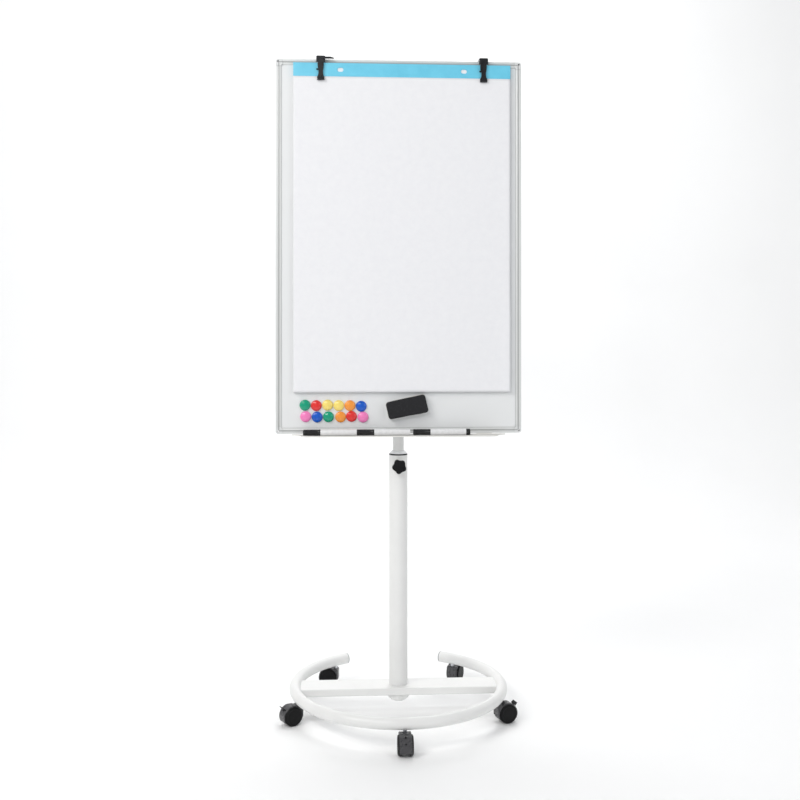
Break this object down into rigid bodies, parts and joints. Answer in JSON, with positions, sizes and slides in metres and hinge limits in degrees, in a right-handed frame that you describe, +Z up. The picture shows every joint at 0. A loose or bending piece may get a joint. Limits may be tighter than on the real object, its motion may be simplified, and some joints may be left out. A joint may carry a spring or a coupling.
{
  "type": "flipchart easel",
  "caption": "Mobile flipchart easel: magnetic whiteboard with paper pad, clips and pen tray on a telescopic post over an open ring base on swivel casters.",
  "frame": {"origin": "on the floor, under the axis of the post", "axes": "+Z up, -Y towards the person who writes (the board's writing side), +X to their right"},
  "size_m": [0.66, 0.596, 1.766],
  "materials": {
    "white_steel": "satin powder coat",
    "white_plastic": "smooth moulded",
    "end_plug_plastic": "fine grain",
    "zinc_steel": "zinc plated",
    "collar_plastic": "smooth moulded",
    "guide_plastic": "plain moulded",
    "head_aluminium": "die cast",
    "knob_plastic": "fine grain",
    "frame_aluminium": "satin anodised",
    "corner_plastic": "satin moulded",
    "writing_surface": "smooth lacquer",
    "fibreboard": "raw board",
    "galvanised_sheet": "galvanised",
    "bracket_steel": "satin paint",
    "tray_steel": "satin powder coat",
    "band_card": "printed card",
    "paper": "matt paper",
    "magnet_plastic": "smooth moulded",
    "clip_plastic": "fine grain",
    "felt": "felt and foam",
    "marker_left_body": "smooth moulded",
    "marker_middle_body": "smooth moulded",
    "marker_right_body": "smooth moulded",
    "hood_plastic": "fine grain",
    "wheel_plastic": "smooth tread",
    "brake_plastic": "fine grain"
  },
  "bodies": {
    "base": {"base_ring": "white_steel", "ring_end_caps": "end_plug_plastic", "crossbar": "white_steel", "base_bolt": "zinc_steel", "bottom_cup": "white_plastic", "outer_post": "white_steel", "post_foot": "zinc_steel", "knob_boss": "white_steel", "post_collar": "collar_plastic", "caster_stems": "zinc_steel"},
    "height_knob": {"height_knob": "knob_plastic", "height_knob_stud": "zinc_steel"},
    "post": {"inner_post": "white_steel", "post_guide": "guide_plastic", "post_head": "head_aluminium", "tilt_bolt": "zinc_steel"},
    "tilt_knob": {"tilt_knob": "knob_plastic"},
    "board": {"frame_left": "frame_aluminium", "frame_right": "frame_aluminium", "frame_top": "frame_aluminium", "frame_bottom": "frame_aluminium", "corner_caps": "corner_plastic", "board_face": "writing_surface", "board_core": "fibreboard", "board_back": "galvanised_sheet", "back_rails": "bracket_steel", "tilt_bracket": "bracket_steel", "back_screws": "zinc_steel", "pen_tray": "tray_steel", "tray_screws": "zinc_steel", "pad_band": "band_card", "pad_sheets": "paper", "magnets": "magnet_plastic"},
    "clip_left": {"clip_left": "clip_plastic"},
    "clip_right": {"clip_right": "clip_plastic"},
    "lever_left": {"clip_lever_left": "clip_plastic"},
    "lever_right": {"clip_lever_right": "clip_plastic"},
    "page": {"pad_top_sheet": "paper"},
    "eraser": {"eraser": "felt"},
    "marker_left": {"marker_left": "marker_left_body"},
    "marker_middle": {"marker_middle": "marker_middle_body"},
    "marker_right": {"marker_right": "marker_right_body"},
    "caster_front": {"caster_hood_front": "hood_plastic", "caster_axle_front": "zinc_steel"},
    "wheels_front": {"caster_wheels_front": "wheel_plastic"},
    "caster_left": {"caster_hood_left": "hood_plastic", "caster_axle_left": "zinc_steel"},
    "wheels_left": {"caster_wheels_left": "wheel_plastic"},
    "brake_left": {"caster_brake_left": "brake_plastic"},
    "caster_right": {"caster_hood_right": "hood_plastic", "caster_axle_right": "zinc_steel"},
    "wheels_right": {"caster_wheels_right": "wheel_plastic"},
    "brake_right": {"caster_brake_right": "brake_plastic"},
    "caster_rear_left": {"caster_hood_rear_left": "hood_plastic", "caster_axle_rear_left": "zinc_steel"},
    "wheels_rear_left": {"caster_wheels_rear_left": "wheel_plastic"},
    "caster_rear_right": {"caster_hood_rear_right": "hood_plastic", "caster_axle_rear_right": "zinc_steel"},
    "wheels_rear_right": {"caster_wheels_rear_right": "wheel_plastic"},
    "brake_rear_right": {"caster_brake_rear_right": "brake_plastic"}
  },
  "joints": [
    {"name": "height_slide", "type": "slide", "parent": "base", "child": "post", "axis": [0, 0, 1], "range_m": [-0.03, 0.25]},
    {"name": "height_knob_turn", "type": "hinge", "parent": "base", "child": "height_knob", "pos_m": [0, -0.045, 0.671], "axis": [0, -1, 0], "range_deg": [0, 360]},
    {"name": "board_tilt", "type": "hinge", "parent": "post", "child": "board", "pos_m": [0, 0, 1.242], "axis": [-1, 0, 0], "range_deg": [0, 30]},
    {"name": "tilt_knob_turn", "type": "hinge", "parent": "post", "child": "tilt_knob", "pos_m": [0.0109, 0, 1.242], "axis": [1, 0, 0], "range_deg": [0, 360]},
    {"name": "caster_swivel_front", "type": "hinge", "parent": "base", "child": "caster_front", "pos_m": [0, -0.28, 0.049], "axis": [0, 0, 1], "continuous": true},
    {"name": "wheel_spin_front", "type": "hinge", "parent": "caster_front", "child": "wheels_front", "pos_m": [0, -0.3, 0.025], "axis": [1, 0, 0], "continuous": true},
    {"name": "caster_swivel_left", "type": "hinge", "parent": "base", "child": "caster_left", "pos_m": [-0.26982, -0.07483, 0.049], "axis": [0, 0, 1], "continuous": true},
    {"name": "wheel_spin_left", "type": "hinge", "parent": "caster_left", "child": "wheels_left", "pos_m": [-0.28714, -0.08483, 0.025], "axis": [0.5, -0.866, 0], "continuous": true},
    {"name": "brake_left", "type": "hinge", "parent": "caster_left", "child": "brake_left", "pos_m": [-0.30033, -0.09244, 0.03872], "axis": [0.5, -0.866, 0], "range_deg": [0, 12]},
    {"name": "caster_swivel_right", "type": "hinge", "parent": "base", "child": "caster_right", "pos_m": [0.26052, -0.10262, 0.049], "axis": [0, 0, 1], "continuous": true},
    {"name": "wheel_spin_right", "type": "hinge", "parent": "caster_right", "child": "wheels_right", "pos_m": [0.27954, -0.09644, 0.025], "axis": [-0.309, 0.9511, 0], "continuous": true},
    {"name": "brake_right", "type": "hinge", "parent": "caster_right", "child": "brake_right", "pos_m": [0.29403, -0.09173, 0.03872], "axis": [-0.309, 0.9511, 0], "range_deg": [0, 12]},
    {"name": "caster_swivel_rear_left", "type": "hinge", "parent": "base", "child": "caster_rear_left", "pos_m": [-0.172, 0.22094, 0.049], "axis": [0, 0, 1], "continuous": true},
    {"name": "wheel_spin_rear_left", "type": "hinge", "parent": "caster_rear_left", "child": "wheels_rear_left", "pos_m": [-0.19181, 0.22373, 0.025], "axis": [-0.1392, -0.9903, 0], "continuous": true},
    {"name": "caster_swivel_rear_right", "type": "hinge", "parent": "base", "child": "caster_rear_right", "pos_m": [0.17315, 0.22004, 0.049], "axis": [0, 0, 1], "continuous": true},
    {"name": "wheel_spin_rear_right", "type": "hinge", "parent": "caster_rear_right", "child": "wheels_rear_right", "pos_m": [0.18254, 0.2377, 0.025], "axis": [-0.8829, 0.4695, 0], "continuous": true},
    {"name": "brake_rear_right", "type": "hinge", "parent": "caster_rear_right", "child": "brake_rear_right", "pos_m": [0.1897, 0.25115, 0.03872], "axis": [-0.8829, 0.4695, 0], "range_deg": [0, 12]},
    {"name": "clip_slide_left", "type": "slide", "parent": "board", "child": "clip_left", "axis": [1, 0, 0], "range_m": [-0.089, 0.15]},
    {"name": "clip_slide_right", "type": "slide", "parent": "board", "child": "clip_right", "axis": [1, 0, 0], "range_m": [-0.15, 0.073]},
    {"name": "clip_lever_left", "type": "hinge", "parent": "clip_left", "child": "lever_left", "pos_m": [-0.203, -0.0588, 1.76], "axis": [0, 1, 0], "range_deg": [0, 90]},
    {"name": "clip_lever_right", "type": "hinge", "parent": "clip_right", "child": "lever_right", "pos_m": [0.219, -0.0588, 1.76], "axis": [0, 1, 0], "range_deg": [0, 90]},
    {"name": "page_flip", "type": "hinge", "parent": "board", "child": "page", "pos_m": [0.008, -0.053, 1.697], "axis": [-1, 0, 0], "range_deg": [0, 85]},
    {"name": "eraser_pull", "type": "slide", "parent": "board", "child": "eraser", "axis": [0, -1, 0], "range_m": [0, 0.06]},
    {"name": "marker_lift_left", "type": "slide", "parent": "board", "child": "marker_left", "axis": [0, -0.8575, 0.5145], "range_m": [0, 0.08]},
    {"name": "marker_lift_middle", "type": "slide", "parent": "board", "child": "marker_middle", "axis": [0, -0.8575, 0.5145], "range_m": [0, 0.08]},
    {"name": "marker_lift_right", "type": "slide", "parent": "board", "child": "marker_right", "axis": [0, -0.8575, 0.5145], "range_m": [0, 0.08]}
  ]
}
